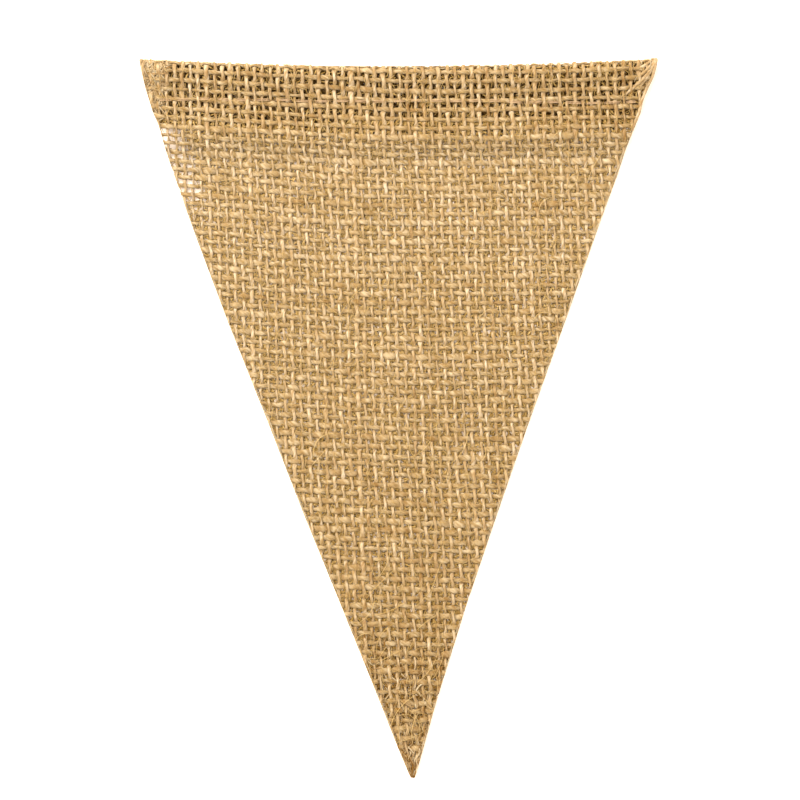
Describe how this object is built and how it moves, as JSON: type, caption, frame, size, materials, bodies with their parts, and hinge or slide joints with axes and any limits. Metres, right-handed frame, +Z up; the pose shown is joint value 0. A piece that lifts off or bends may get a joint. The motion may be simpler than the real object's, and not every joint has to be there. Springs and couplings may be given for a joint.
{
  "type": "fabric bunting pennant",
  "caption": "Long triangular pennant of coarse woven burlap, its top edge folded back and sewn down as a tunnel for a hanging string.",
  "frame": {"origin": "middle of the bounding box in plan, on the surface that the cloth lies on", "axes": "+X to the right of the face, +Y from the tip towards the folded edge, +Z up out of the face"},
  "size_m": [0.1256, 0.1742, 0.0039],
  "materials": {
    "burlap": "coarse plain-weave natural jute, straw coloured, matte and slightly hairy, with lighter warp yarns, ochre weft yarns and a thin tan stitch row across the hem"
  },
  "bodies": {
    "root": {"pennant": "burlap"}
  },
  "joints": []
}
